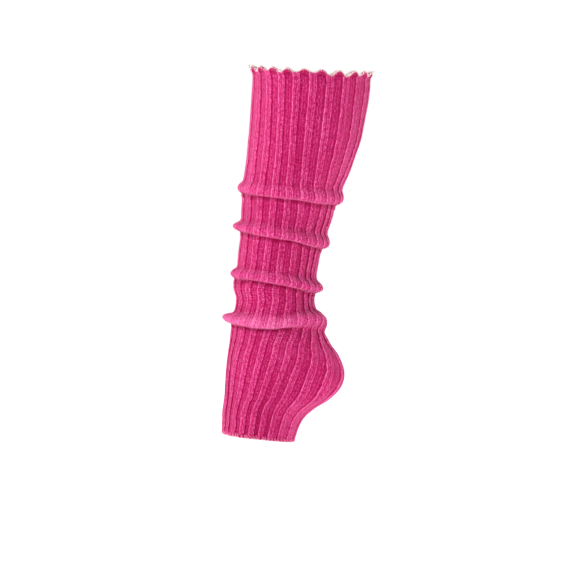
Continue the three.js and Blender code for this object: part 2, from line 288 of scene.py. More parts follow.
@dataclass(frozen=True)
class Rim:
    """One edge of the cloth: a closed line along it, with its directions at each point."""

    phases: Array
    middle: Array
    across: Array
    outwards: Array

    @classmethod
    def of(cls, phases: Array, outer: Array, inner: Array) -> "Rim":
        """Takes the edge's line from the outside's last row and the one before, and the inside's last."""
        return cls(phases, (outer[0] + inner) / 2, (outer[0] - inner) / 2, unit(outer[0] - outer[1]))

    def rows(self, count: int, bulge: float) -> Array:
        """The rows that carry the cloth round the edge: a half circle from its outer side to its inner."""
        angles = (np.pi * np.arange(1, count + 1) / (count + 1))[:, None, None]
        return self.middle + np.cos(angles) * self.across + np.sin(angles) * bulge * self.outwards

    def at(self, phase: Array, ribs: int) -> tuple[Array, Array, Array]:
        """The line's point, its half thickness outwards and its direction out of the edge, at any place.

        Args:
            phase: Places round the edge, counted in ribs.
            ribs: How many ribs close the round.

        Returns:
            Points, half thickness vectors and unit directions out of the edge.
        """
        stacked = np.hstack([self.middle, self.across, self.outwards])
        read = np.stack([np.interp(phase, self.phases, column, period=ribs) for column in stacked.T], axis=-1)
        return read[:, :3], read[:, 3:6], unit(read[:, 6:])


# How far the close rows lie from the top edge and from the hem, in mm.
CLOSE_ROWS_MM = {
    Face.OUTSIDE: ((0.0, 0.8, 1.6, 2.5, 3.5, 4.6, 5.8, 7.2, 8.8), (8.5, 6.6, 5.0, 3.6, 2.4, 1.4, 0.6, 0.0)),
    Face.INSIDE: ((0.0, 2.0, 4.5, 8.0), (7.5, 4.0, 1.8, 0.0)),
}

# One roll's profile outside, as shares of its height and of how far it stands out. Columns: place, lift and
# rib relief, then place and lift at the shin and the heel side, where it stands out like a nose.
ROLL_OUTSIDE = (
    (-1.00, -0.02, 1.00, -0.95, 0.00),
    (-0.80, -0.01, 1.00, -0.72, 0.05),
    (-0.63, 0.12, 0.98, -0.55, 0.19),
    (-0.47, 0.40, 0.92, -0.45, 0.40),
    (-0.31, 0.69, 0.80, -0.36, 0.62),
    (-0.14, 0.91, 0.70, -0.24, 0.83),
    (0.03, 1.00, 0.64, -0.10, 0.97),
    (0.18, 0.97, 0.62, 0.04, 1.00),
    (0.30, 0.84, 0.62, 0.17, 0.92),
    (0.38, 0.62, 0.64, 0.28, 0.74),
    (0.42, 0.36, 0.66, 0.35, 0.52),
    (0.44, 0.10, 0.60, 0.40, 0.30),
    (0.47, -0.09, 0.60, 0.46, 0.10),
    (0.56, -0.11, 0.85, 0.57, -0.02),
    (0.70, -0.03, 1.00, 0.72, -0.02),
)
# The same inside, where it is alike all round and has no ribs. Columns: place, lift and rib relief.
ROLL_INSIDE = (
    (-0.75, 0.00, 0.0),
    (-0.40, 0.22, 0.0),
    (-0.12, 0.48, 0.0),
    (0.10, 0.46, 0.0),
    (0.24, 0.18, 0.0),
    (0.34, 0.00, 0.0),
)


@dataclass
class KnitTube:
    """The knitted tube: one closed shell, ribbed outside, plain inside, with its folds and lettuce edge."""

    form: LegForm = field(default_factory=LegForm)
    folds: tuple[SlouchFold, ...] = FOLDS
    rib_phases: tuple[float, ...] = (
        0.0, 0.12, 0.21, 0.255, 0.29, 0.335, 0.40, 0.5, 0.60, 0.665, 0.71, 0.745, 0.79, 0.88,
    )
    ridge_height: float = 0.78
    ridge_side: tuple[float, float] = (0.195, 0.27)
    edge_wale_height: float = 0.24
    edge_wale: tuple[float, float] = (0.17, 0.05)
    furrow_height: float = 0.12
    furrow_wale: tuple[float, float] = (0.5, 0.10)
    rib_top: float = 0.5 * MM
    rib_rise: float = 1.8 * MM
    stretched_rise: float = 0.62
    rib_spread: float = 0.06
    rib_slip: float = 0.12
    closed_pitch: float = 8.5 * MM
    open_pitch: float = 12.5 * MM
    wall: float = 1.5 * MM
    edge_wave: float = 2.2 * MM
    edge_unevenness: tuple[tuple[float, int, float], ...] = ((0.24, 3, 1.0), (0.20, 7, 0.0))
    edge_flare: float = 2.8 * MM
    crest_flare: float = 0.5
    edge_reach: float = 4.6 * MM
    edge_relief: tuple[float, float] = (-1.2 * MM, 2.5 * MM)
    hollow: float = 1.2 * MM
    hollow_place: float = 4.2 * MM
    hollow_width: float = 2.6 * MM
    hem_curl: float = 0.3 * MM
    hem_reach: float = 2.0 * MM
    hem_relief: tuple[float, float] = (0.5 * MM, 4.2 * MM)
    hem_shade: float = 0.8
    rim_bulge: float = 0.8 * MM
    rim_rows: int = 4
    plain_step: float = 2.6 * MM
    inner_step: float = 8.0 * MM
    roll_rows: int = 24
    roll_span: float = 12.0 * MM
    uneven_height: float = 0.05
    uneven_proud: float = 0.09
    crease_bridge: float = 1.3 * MM
    # Where and how wide the painted shade lies below each roll's crease, as shares of the roll's height.
    crease_place: float = 0.58
    crease_width: float = 0.20
    crease_lift: float = 0.45
    crease_tight: float = 0.6
    ease_round: tuple[float, float] = (0.15, 0.75)
    # How much the painted highlight on the last roll's crest fades where it eases out at the heel side.
    eased_highlight: float = 0.5
    facing_steps: tuple[float, float] = (8.0, 4.0)
    bow: float = 4.5 * MM
    bow_reach: float = 12.0 * MM
    course: float = 1.8 * MM
    wales_in_pitch: int = 6
    sways: tuple[Ripple, ...] = (
        Ripple(11, 0.008, 3, 0.09),
        Ripple(12, 0.008, 9, 0.024),
        Ripple(16, 0.008, 13, 0.010),
    )
    swell: Ripple = Ripple(13, 0.28 * MM, 4, 0.06)
    uneven_rise: Ripple = Ripple(14, 0.10, 11, 0.04)
    uneven_crease: Ripple = Ripple(15, 0.35, 13, 0.5)

    @property
    def phases(self) -> Array:
        """Where each column of the grid lies round the leg, counted in ribs."""
        return (np.arange(self.form.ribs)[:, None] + np.array(self.rib_phases)).ravel()

    @property
    def inner_face(self) -> float:
        """Lift of the plain inner face from the measured outline: a wall's thickness under the furrows."""
        return self.rib_top - self.rib_rise - self.wall

    def at_fold(self, fold: int, station: Sequence[float]) -> Array:
        """A row's shape: one fold's place and lift at its sides and its ends, and 0 for the other folds."""
        place, lift, _, end_place, end_lift = station
        shape = np.zeros((4, len(self.folds)))
        shape[:, fold] = place, lift, end_place, end_lift
        return shape

    def roll(self, face: Face) -> Array:
        """One roll's profile, outside spaced evenly along its own curve.

        Args:
            face: Which face of the cloth.

        Returns:
            Columns: place, lift and relief, and the place and lift at the shin and the heel side.
        """
        if face is Face.INSIDE:
            return np.array(ROLL_INSIDE)[:, [0, 1, 2, 0, 1]]
        profile = np.array(ROLL_OUTSIDE)
        steps = np.hypot(np.diff(profile[:, 0]), 0.5 * np.diff(profile[:, 1]))
        path = np.concatenate([[0.0], np.cumsum(steps)])
        return through_points(path, profile, np.linspace(0.0, path[-1], self.roll_rows))

    def rows(self, face: Face) -> list[Row]:
        """Lays out a face's rows: close ones at the two edges and on the rolls, wider ones between.

        Args:
            face: Which face of the cloth.

        Returns:
            The rows from the top edge to the hem.
        """
        none = np.zeros((4, len(self.folds)))
        step = self.plain_step if face is Face.OUTSIDE else self.inner_step
        top, hem = (np.array(distances) * MM for distances in CLOSE_ROWS_MM[face])
        rows = [(base, none, relief, 0.0) for base, relief in zip(top, smooth(*self.edge_relief, top))]
        roll = self.roll(face)
        for k, fold in enumerate(self.folds):
            start, shape = rows[-1][:2]
            centre = self.form.along_of(fold.at)
            count = max(2, round((centre - start - self.roll_span) / step))
            rows += self.plain((start, centre), (shape, self.at_fold(k, roll[0])), count)
            for station in roll:
                place, lift, relief = station[:3]
                # Painted shadow: the rows just below each roll's crease get a share of painted crease shade.
                shadow = hump(place, self.crease_place, self.crease_width) * (lift < self.crease_lift)
                rows.append((centre, self.at_fold(k, station), relief, shadow))
        start, shape = rows[-1][:2]
        last = self.form.length - hem[0]
        rows += self.plain((start, last), (shape, none), round((last - start) / step))
        # The last rows take painted shade under the hem's overlock band, darkest at the hem.
        for distance, relief in zip(hem, smooth(*self.hem_relief, hem)):
            rows.append((self.form.length - distance, none, relief, self.hem_shade * (1.0 - relief)))
        return rows

    @staticmethod
    def plain(ends: tuple[float, float], shapes: tuple[Array, Array], count: int) -> list[Row]:
        """The rows between two others, count steps blended evenly from their places and shapes."""
        shares = np.arange(1, count) / count
        return [(*((1 - s) * first + s * last for first, last in (ends, shapes)), 1.0, 0.0) for s in shares]

    def rib_profile(self, phase: Array) -> Array:
        """Height of the knit across one rib: a flat-topped ridge with two proud edge wales, and a furrow.

        Args:
            phase: Share of the rib's pitch, 0 in the middle of a furrow.

        Returns:
            Heights from 0 to about 1.
        """
        off_middle = np.abs(phase - 0.5)
        ridge = 1.0 - smooth(*self.ridge_side, off_middle)
        edge_wales = self.edge_wale_height * hump(off_middle, *self.edge_wale)
        furrow_wales = self.furrow_height * hump(off_middle, *self.furrow_wale)
        return ridge * (self.ridge_height + edge_wales) + furrow_wales

    def place_points(self, face: Face) -> tuple[Array, dict[str, Array]]:
        """Works out a face's grid: rows down the leg by points round it.

        A point lies at base + place * roll height down the leg and is lifted along the form's normal by the
        rib profile, the roll and the edge's flare, with slow ripples so that no two ribs are the same.

        Args:
            face: Which face of the cloth.

        Returns:
            Points, and named shades for each of them, which the inside has none of.
        """
        base, shape, relief, crease = (np.array(column) for column in zip(*self.rows(face)))
        base, relief, crease = base[:, None], relief[:, None], crease[:, None]
        share = np.mod(self.phases, 1.0)
        crest = np.cos(TURN * share)
        even = self.form.turn_of(self.phases, base)
        ease = self.heel_ease(base, even)
        end = np.maximum(np.cos(even) ** 4, ease)[..., None, None]
        blended = shape[:, None, :2] * (1.0 - end) + shape[:, None, 2:] * end
        places, lifts = blended[..., 0, :], blended[..., 1, :]
        heights = [self.uneven(fold.height, even, fold.seed, self.uneven_height) for fold in self.folds]
        prouds = [self.uneven(fold.proud, even, fold.seed + 1, self.uneven_proud) for fold in self.folds]
        edge = hump(base, 0.0, self.edge_reach)
        along = base + (places * np.stack(heights, axis=-1)).sum(-1)
        along = along + edge * self.lettuce(even) * (1.0 - crest) - self.last_bow(base, even)
        close = self.closeness(base, even)
        moved = self.rib_slip * lifts.sum(-1) - self.rib_spread * close * np.sin(TURN * share)
        sway = sum(ripple.at(even, along) for ripple in self.sways)
        turn = self.form.turn_of(self.phases + sway + moved, np.clip(along, 0.0, self.form.length))
        out = (lifts * np.stack(prouds, axis=-1)).sum(-1)
        out = out + edge * self.edge_flare * (1.0 + self.crest_flare * crest)
        out = out - self.hem_curl * hump(base, self.form.length, self.hem_reach) + self.swell.at(turn, along)
        if face is Face.INSIDE:
            return self.form.raised(along, turn, self.inner_face + out), {}
        height = self.rib_profile(share) * relief
        rise = self.rib_rise * (self.stretched_rise + (1.0 - self.stretched_rise) * close)
        ridges = height * (1.0 + self.uneven_rise.at(turn, along)) + 0.5 * (1.0 - relief) - 1.0
        # Below each crest of the top edge the cloth sinks into a hollow, and the same hump adds painted shade
        # there.
        tucked = hump(base, self.hollow_place, self.hollow_width) * np.clip(crest, 0.0, 1.0)
        # Painted shade in the creases, eased out at the heel side and uneven round the leg; the crease also
        # lifts the ribs a little.
        crease = crease * (1.0 - ease)
        tight = self.crease_tight + self.uneven_crease.at(turn, base)
        shaded = crease * np.clip(self.crease_tight * (1.0 + tight), 0.0, 1.0)
        knit = self.rib_top + rise * ridges - self.hollow * tucked
        knit = knit + self.crease_bridge * crease * height * tight
        # Painted highlight: each roll's crest is painted lighter by its fold's share, less where the last
        # fold eases out.
        crest_highlight = np.array([fold.crest_highlight for fold in self.folds])
        # Painted light: the facing shade is 1 on each rib's edge that faces the shin-side light and -1 on the
        # other edge.
        across, around = self.facing_steps
        shades = {
            "rib": height,
            "crease": np.clip(shaded + tucked, 0.0, 1.0),
            "roll": np.clip((lifts * crest_highlight).sum(-1) * (1.0 - self.eased_highlight * ease), 0.0, 1.0),
            "close": close,
            "facing": np.clip((0.5 - share) * across, -1.0, 1.0) * np.clip(np.sin(turn) * around, -1.0, 1.0),
        }
        return self.form.raised(along, turn, knit + out), shades

    def lettuce(self, turn: Array) -> Array:
        """How far the top edge dips between ribs, uneven by a sum of share * sin(waves * turn + shift)."""
        uneven = sum(share * np.sin(turn * waves + shift) for share, waves, shift in self.edge_unevenness)
        return self.edge_wave * (1.0 + uneven)

    def last_bow(self, base: Array, turn: Array) -> Array:
        """How far the last fold is drawn up between its sides and the heel side, most at half way."""
        near_fold = hump(base, self.form.along_of(self.folds[-1].at), self.bow_reach)
        return self.bow * near_fold * 2.0 * np.clip(-np.cos(turn), 0.0, 1.0) * np.abs(np.sin(turn))

    def heel_ease(self, base: Array, turn: Array) -> Array:
        """How far the last fold's crease has eased out: 1 at the heel side, and 0 on the other folds."""
        last_fold = (base > self.form.along_of("gap 3")) & (base < self.form.along_of("heel back"))
        return last_fold * smooth(*self.ease_round, -np.cos(turn))

    def closeness(self, base: Array, turn: Array) -> Array:
        """How far the ribs have closed up, from 0 where they are stretched apart to 1 where they are not.

        The pitch is the distance from each point to the same one on the next rib.

        Args:
            base: Distance down the leg of each row.
            turn: Angle of each point of the grid.

        Returns:
            Shares from 0 to 1, for each point.
        """
        ahead = np.roll(turn, -len(self.rib_phases), axis=1)
        ahead = np.where(ahead < turn, ahead + TURN, ahead)
        pitch = np.linalg.norm(self.form.surface(base, ahead) - self.form.surface(base, turn), axis=-1)
        return 1.0 - smooth(self.closed_pitch, self.open_pitch, pitch)

    def uneven(self, values: Sequence[float], turn: Array, seed: int, amount: float) -> Array:
        """Blends a fold's four values round the leg, a little uneven by a drawn sum of two to nine waves.

        Args:
            values: Sizes in mm at the shin, near side, heel side and far side.
            turn: Angle of each point of the grid.
            seed: The draw's seed.
            amount: Share of the size by which the waves change it.

        Returns:
            Sizes in metres, for each point.
        """
        draw = np.random.default_rng(seed)
        waves = [np.sin(k * turn + draw.uniform(0.0, TURN)) / math.sqrt(k) for k in range(2, 10)]
        return MM * self.form.round_leg(values, turn) * (1.0 + amount * np.sum(waves, axis=0))

    def build(self) -> tuple[Piece, Rim, Rim]:
        """Makes the tube as one grid that joins up both ways: outside down, hem, inside up, top edge.

        Returns:
            The piece, with its knit map and its shades, and the lines of its top edge and its hem.
        """
        outside, shades = self.place_points(Face.OUTSIDE)
        inside, _ = self.place_points(Face.INSIDE)
        top = Rim.of(self.phases, outside[:2], inside[0])
        hem = Rim.of(self.phases, outside[:-3:-1], inside[-1])
        top_rows, hem_rows = (rim.rows(self.rim_rows, self.rim_bulge) for rim in (top, hem))
        grid = np.concatenate([outside, hem_rows, inside[::-1], top_rows[::-1]])
        plain = np.zeros((len(grid) - len(outside), grid.shape[1]))
        shades = {name: np.vstack([shade, plain]) for name, shade in shades.items()}
        steps = np.linalg.norm(np.diff(grid, axis=0), axis=-1).mean(axis=1)
        down = np.concatenate([[0.0], np.cumsum(steps)]) / self.course
        down = np.append(down, 2 * down[-1] - down[-2])
        across = np.append(self.phases, float(self.form.ribs)) * self.wales_in_pitch + 0.5
        return grid_piece("rib_knit_tube", grid, across, down, shades), top, hem


def grid_faces(rows: int, columns: int) -> Array:
    """Quads of a grid that joins up both ways, each listed from its lower left corner, facing outwards."""
    r, c = np.meshgrid(np.arange(rows), np.arange(columns), indexing="ij")
    below, right = (r + 1) % rows, (c + 1) % columns
    corners = [below * columns + c, below * columns + right, r * columns + right, r * columns + c]
    return np.stack(corners, axis=-1).reshape(-1, 4)


def mesh_piece(name: str, points: Array, faces: Array) -> Piece:
    """Puts points and faces of one size into a new, smooth mesh object at the origin.

    Args:
        name: The piece's name.
        points: Its points.
        faces: Its faces, one row of point numbers each.

    Returns:
        The object, linked to the scene.
    """
    mesh = bpy.data.meshes.new(name)
    mesh.vertices.add(len(points))
    mesh.vertices.foreach_set("co", np.ascontiguousarray(points, np.float32).ravel())
    size = faces.shape[1]
    mesh.loops.add(faces.size)
    mesh.loops.foreach_set("vertex_index", faces.astype(np.int32).ravel())
    mesh.polygons.add(len(faces))
    mesh.polygons.foreach_set("loop_start", np.arange(0, faces.size, size, dtype=np.int32))
    mesh.polygons.foreach_set("use_smooth", np.ones(len(faces), bool))
    mesh.update(calc_edges=True)
    mesh.validate()
    piece = bpy.data.objects.new(name, mesh)
    bpy.context.scene.collection.objects.link(piece)
    return piece


def grid_piece(name: str, grid: Array, across: Array, down: Array, shades: dict[str, Array]) -> Piece:
    """Makes a closed grid into a piece, with a map and point shades.

    Args:
        name: The piece's name.
        grid: Points by row and column, which joins up both ways.
        across: The map's first number at each column, and one more for the joining column.
        down: The map's second number at each row, and one more for the joining row.
        shades: Numbers for each point, by name.

    Returns:
        The object.
    """
    rows, columns = grid.shape[:2]
    piece = mesh_piece(name, grid.reshape(-1, 3), grid_faces(rows, columns))
    r, c = np.meshgrid(np.arange(rows), np.arange(columns), indexing="ij")
    u = np.stack([across[c], across[c + 1], across[c + 1], across[c]], axis=-1)
    v = np.stack([down[r + 1], down[r + 1], down[r], down[r]], axis=-1)
    layer = piece.data.uv_layers.new(name="knit")
    layer.data.foreach_set("uv", np.stack([u, v], axis=-1).astype(np.float32).ravel())
    for key, values in shades.items():
        attribute = piece.data.attributes.new(key, "FLOAT", "POINT")
        attribute.data.foreach_set("value", values.astype(np.float32).ravel())
    return piece


class EdgeThread(Enum):
    """The threads that bind the cloth's edges."""

    TOP_WRAP = "top_overlock_thread"
    HEM_WRAP = "hem_pink_overlock"
    HEM_CHAIN = "hem_overlock_thread"


@dataclass(frozen=True)
class OverlockThread:
    """A thread wound round an edge: a coil whose turns lie side by side along the rim."""

    kind: EdgeThread
    wraps: int
    radius: float
    beyond_face: float
    reach: float
    offset: float
    seed: int
    ribs: int = 22
    points_in_wrap: int = 12
    sides: int = 6
    uneven_waves: tuple[int, ...] = (7, 19, 31, 47)
    uneven_pitch: float = 0.020
    uneven_size: float = 0.05

    def path(self, rim: Rim) -> tuple[Array, Array]:
        """The coil's line: cos(angle) across the edge and sin(angle) out of it, with an uneven pitch.

        Args:
            rim: The edge that it binds.

        Returns:
            Points of the line, and unit directions from the coil's middle to them.
        """
        draw = np.random.default_rng(self.seed)
        count = self.wraps * self.points_in_wrap
        share = np.arange(count) / count
        angle = TURN * self.wraps * share
        phase = self.ribs * share
        size = np.ones(count)
        for waves in self.uneven_waves:
            phase = phase + self.uneven_pitch * np.sin(waves * TURN * share + draw.uniform(0, TURN))
            size = size + self.uneven_size * np.sin((waves + 4) * TURN * share + draw.uniform(0, TURN))
        middle, across, out = rim.at(phase, self.ribs)
        wide = (np.linalg.norm(across, axis=-1) + self.beyond_face) * size
        arm = unit(across) * (np.cos(angle) * wide)[:, None]
        arm = arm + out * (np.sin(angle) * self.reach * size)[:, None]
        points = middle + out * self.offset + arm
        return points, unit(arm)

    def build(self, rim: Rim) -> Piece:
        """Makes the thread's mesh: a round section carried along the coil.

        Args:
            rim: The edge that it binds.

        Returns:
            The piece.
        """
        points, outwards = self.path(rim)
        along = unit(np.roll(points, -1, axis=0) - np.roll(points, 1, axis=0))
        beside = unit(np.cross(along, outwards))
        level = np.cross(beside, along)
        angle = TURN * np.arange(self.sides) / self.sides
        ring = np.cos(angle)[:, None] * level[:, None] + np.sin(angle)[:, None] * beside[:, None]
        grid = points[:, None] + self.radius * ring
        steps = np.linalg.norm(np.diff(points, axis=0, append=points[:1]), axis=-1)
        along_map = np.concatenate([[0.0], np.cumsum(steps)]) / (2 * self.radius)
        return grid_piece(self.kind.value, grid, np.arange(self.sides + 1) / self.sides, along_map, {})


Value = Union["Wire", float]


def operator(operation: str, reflected: bool = False) -> Callable[["Wire", Value], "Wire"]:
    """Makes an operator that adds one Math node.

    Args:
        operation: The node's operation.
        reflected: Whether the other value comes first.

    Returns:
        The operator, for the class of wires.
    """

    def add(wire: "Wire", other: Value) -> "Wire":
        """Adds the node and returns its result."""
        return wire.math(operation, other, wire) if reflected else wire.math(operation, wire, other)

    return add


@dataclass(frozen=True)
class Wire:
    """A value socket in a material: Python's operators on it add the Math nodes that work them out."""

    graph: "Graph"
    socket: bpy.types.NodeSocket

    def math(self, operation: str, *values: Value) -> "Wire":
        """Adds one Math node and returns its result."""
        inputs = dict(enumerate(values))
        return self.graph.node("Math", inputs, {"operation": operation}).out(0)

    __add__, __radd__ = operator("ADD"), operator("ADD", reflected=True)
    __sub__, __rsub__ = operator("SUBTRACT"), operator("SUBTRACT", reflected=True)
    __mul__, __rmul__ = operator("MULTIPLY"), operator("MULTIPLY", reflected=True)

    def wave(self) -> "Wire":
        """The cosine of this many whole turns."""
        return self.math("COSINE", self * TURN)

    def share(self) -> "Wire":
        """What is left over a whole number."""
        return self.math("FRACT", self)

    def size(self) -> "Wire":
        """Without its sign."""
        return self.math("ABSOLUTE", self)

    def between(self, low: float, high: float) -> "Wire":
        """Smoothly 0 below low, 1 above high."""
        settings = {"interpolation_type": "SMOOTHSTEP", "clamp": True}
        inputs = {0: self, 1: low, 2: high, 3: 0.0, 4: 1.0}
        return self.graph.node("MapRange", inputs, settings).out(0)


@dataclass(frozen=True)
class Made:
    """A node that has been added, with its outputs at hand."""

    graph: "Graph"
    node: bpy.types.Node

    def out(self, key: Union[int, str]) -> Wire:
        """One of its outputs, by name or number."""
        return Wire(self.graph, self.node.outputs[key])


class Graph:
    """The nodes of a material or of the surroundings, all added through one method."""

    def __init__(self, owner: Union[bpy.types.Material, bpy.types.World]) -> None:
        """Starts with no nodes."""
        owner.use_nodes = True
        self.owner = owner
        self.tree = owner.node_tree
        self.tree.nodes.clear()

    @classmethod
    def material(cls, name: str) -> "Graph":
        """Starts a new material."""
        return cls(bpy.data.materials.new(name))

    def node(self, kind: str, inputs: Optional[dict] = None, settings: Optional[dict] = None) -> Made:
        """Adds a node, sets its settings first, and then its sockets' values or links.

        Args:
            kind: The node's type, without the word that all the types start with.
            inputs: Its sockets' values or wires, by name or number.
            settings: Its settings by name; "stops" gives a ramp's places and colours.

        Returns:
            The node.
        """
        made = self.tree.nodes.new("ShaderNode" + kind)
        for key, value in (settings or {}).items():
            if key == "stops":
                for element, (place, colour) in zip(self.ramp_stops(made, len(value)), value):
                    element.position, element.color = place, colour
            else:
                setattr(made, key, value)
        for key, value in (inputs or {}).items():
            if isinstance(value, Wire):
                self.tree.links.new(value.socket, made.inputs[key])
            else:
                made.inputs[key].default_value = value
        return Made(self, made)

    @staticmethod
    def ramp_stops(node: bpy.types.Node, count: int) -> bpy.types.bpy_prop_collection:
        """A ramp's stops, as many as are asked for."""
        elements = node.color_ramp.elements
        while len(elements) < count:
            elements.new(1.0)
        return elements

    def attribute(self, name: str) -> Wire:
        """A shade stored on the mesh's points."""
        return self.node("Attribute", None, {"attribute_name": name}).out("Fac")

    def knit_map(self) -> tuple[Wire, Wire]:
        """The piece's own map: how many wales across, and how many courses down."""
        uv = self.node("UVMap", None, {"uv_map": "knit"}).out("UV")
        split = self.node("SeparateXYZ", {0: uv})
        return split.out("X"), split.out("Y")

    def noise(self, scale: float, detail: float = 2.0, roughness: float = 0.5, stretch: float = 1.0) -> Wire:
        """Noise on object coordinates, from 0 to 1, drawn out down the leg by stretch."""
        place = self.node("TexCoord").out("Object")
        mapped = self.node("Mapping", {"Vector": place, "Scale": (1.0, 1.0, 1.0 / stretch)})
        inputs = {"Vector": mapped.out(0), "Scale": scale, "Detail": detail, "Roughness": roughness}
        return self.node("TexNoise", inputs).out(0)

    def mix_colour(self, share: Value, first: Union[Wire, tuple], second: Union[Wire, tuple]) -> Wire:
        """Two colours, mixed by a share."""
        settings = {"data_type": "RGBA", "clamp_factor": True}
        return self.node("Mix", {0: share, 6: first, 7: second}, settings).out(2)

    def bump(self, height: Wire, distance: float, strength: float = 1.0) -> Wire:
        """A bump of a given depth."""
        return self.node("Bump", {"Height": height, "Distance": distance, "Strength": strength}).out(0)

    def finish(self, constants: dict, linked: dict) -> bpy.types.Material:
        """Ends the material in one Principled shader.

        Args:
            constants: What is the same all over, by socket.
            linked: What changes over the surface, by socket.

        Returns:
            The material.
        """
        shader = self.node("BsdfPrincipled", {**constants, **linked})
        self.node("OutputMaterial", {"Surface": shader.out(0)})
        return self.owner


def dye(red: int, green: int, blue: int) -> tuple[float, float, float, float]:
    """A colour from its usual 0 to 255 screen values, as the shader's linear ones."""
    values = np.array([red, green, blue]) / 255.0
    linear = np.where(values <= 0.04045, values / 12.92, ((values + 0.055) / 1.055) ** 2.4)
    return (*(float(v) for v in linear), 1.0)


@dataclass(frozen=True)
class RibKnitFinish:
    """Matt, slightly fuzzy acrylic rib knit: plain loops on the ribs and purl loops in the furrows."""

    name: str = "rib_knit"
    # The ramp runs from gap to tip: its dark stops carry painted shade in furrows, rib feet and loop gaps,
    # its light stops painted highlights on edge wales and roll crests, besides the yarn's random tone.
    # fold_shade is painted shadow.
    gap: tuple = dye(168, 0, 70)
    deep: tuple = dye(188, 10, 85)
    yarn: tuple = dye(208, 44, 117)
    lit: tuple = dye(238, 84, 153)
    tip: tuple = dye(255, 136, 192)
    fold_shade: tuple = dye(162, 0, 68)
    wales_in_pitch: float = 6.0
    # Where across each rib the painted highlight line and the painted shadow line lie.
    edge_wale: float = 0.185
    foot: float = 0.255
    loop_depth: float = 1.1 * MM

    def loops(self, graph: Graph, wale: Wire, course: Wire, rib: Wire) -> Wire:
        """The yarn's height from 0 to 1: slanted legs on the ribs, and rows of bars in the furrows.

        Args:
            graph: The material.
            wale: How many wales across.
            course: How many courses down.
            rib: 1 on the ribs and 0 in the furrows.

        Returns:
            The height.
        """
        shift = graph.noise(230.0, 2.0) * 1.3
        across = wale + (graph.noise(300.0, 1.0) - 0.5) * 0.7
        off_middle = (across.share() - 0.5).size() * 2.0
        slant = (course + shift + off_middle * 0.5).wave() * 0.5 + 0.5
        leg = (off_middle * 0.5).wave() * -0.5 + 0.5
        plain = slant * 0.55 + leg * 0.45
        bars = (course + shift + across.wave() * 0.2).wave() * 0.5 + 0.5
        purl = bars * 0.7 + across.wave() * 0.12 + 0.1
        return rib * plain + (1.0 - rib) * purl

    def material(self) -> bpy.types.Material:
        """Builds the finish: loops and specks as bump and colour, with painted highlight on edge wales and
        roll crests and painted shade in furrows and creases.
        """
        graph = Graph.material(self.name)
        wale, course = graph.knit_map()
        rib = graph.attribute("rib").between(0.25, 0.70)
        crease = graph.attribute("crease")
        loops = self.loops(graph, wale, course, rib)
        fibre = graph.noise(2400.0, 3.0, 0.7)
        speck = graph.noise(780.0, 3.0, 0.75, stretch=1.7).between(0.30, 0.70)
        wander = (graph.noise(210.0, 2.0) - 0.5) * 0.45 - 0.5
        off_rib = (((wale + wander) * (1.0 / self.wales_in_pitch)).share() - 0.5).size()
        # Painted highlight: a light line along each rib's edge wale, stronger on the edge facing the
        # shin-side light; painted shadow: a dark line at each rib's foot, stronger on the other edge.
        facing = graph.attribute("facing")
        line = (1.0 - (off_rib - self.edge_wale).size().between(0.010, 0.044)) * (facing * 0.08 + 0.34)
        foot = (1.0 - (off_rib - self.foot).size().between(0.016, 0.055)) * (0.22 - facing * 0.03)
        patch = graph.noise(34.0, 3.0, 0.55, stretch=1.8).between(0.30, 0.70)
        # Painted highlight: the roll shade makes the rolls' crests lighter and takes the painted furrow shade
        # off them.
        roll = graph.attribute("roll")
        # Painted shade: the furrows are painted darker, more where the ribs close up, with the dark foot line
        # added.
        furrow = (1.0 - rib) * (0.05 + graph.attribute("close") * 0.15) + foot
        wales = (wale + wander).wave() * -0.5 + 0.5
        # The tone is darker where the loops and wales sink, as painted shade between them, and varies with
        # the yarn's random specks and patches.
        tone = loops * 0.30 + speck * 0.50 + wales * 0.12 + patch * 0.08 + line * (speck * 0.4 + 0.90)
        tone = tone - furrow * (1.0 - roll * 0.85) + roll * 0.30
        stops = [(0.05, self.gap), (0.30, self.deep), (0.52, self.yarn), (0.76, self.lit), (1.0, self.tip)]
        ramp = graph.node("ValToRGB", {0: tone}, {"stops": stops}).out(0)
        # Painted shadow: the cloth is mixed towards fold_shade in the creases under the rolls, below the top
        # edge's crests and along the hem, less on the ribs.
        cloth = graph.mix_colour(crease * (0.95 - rib * 0.30), ramp, self.fold_shade)
        normal = graph.bump(loops * 0.6 + speck * 0.3 + fibre * 0.16, self.loop_depth)
        constants = {
            "Sheen Weight": 0.95,
            "Sheen Roughness": 0.27,
            "Sheen Tint": dye(255, 158, 206),
            "Specular IOR Level": 0.08,
        }
        rough = 0.84 + fibre * 0.14
        return graph.finish(constants, {"Base Color": cloth, "Roughness": rough, "Normal": normal})


@dataclass(frozen=True)
class ThreadFinish:
    """Spun overlock thread: two plies twisted together."""

    name: str
    colour: tuple
    shade: tuple
    twist_depth: float = 0.12 * MM

    def material(self) -> bpy.types.Material:
        """Builds the finish: slanted plies as bump, painted shade between them, with soft unevenness."""
        graph = Graph.material(self.name)
        around, along = graph.knit_map()
        ply = (around * 2.0 + along * 0.55).wave() * 0.5 + 0.5
        fibre = graph.noise(3400.0, 2.0, 0.6)
        tone = graph.noise(240.0, 2.0) * 0.5 + ply * 0.5
        cloth = graph.mix_colour(tone.between(0.15, 0.75), self.shade, self.colour)
        normal = graph.bump(ply + fibre * 0.4, self.twist_depth, 0.8)
        constants = {"Sheen Weight": 0.25, "Sheen Roughness": 0.5, "Specular IOR Level": 0.3}
        rough = 0.72 + fibre * 0.15
        return graph.finish(constants, {"Base Color": cloth, "Roughness": rough, "Normal": normal})


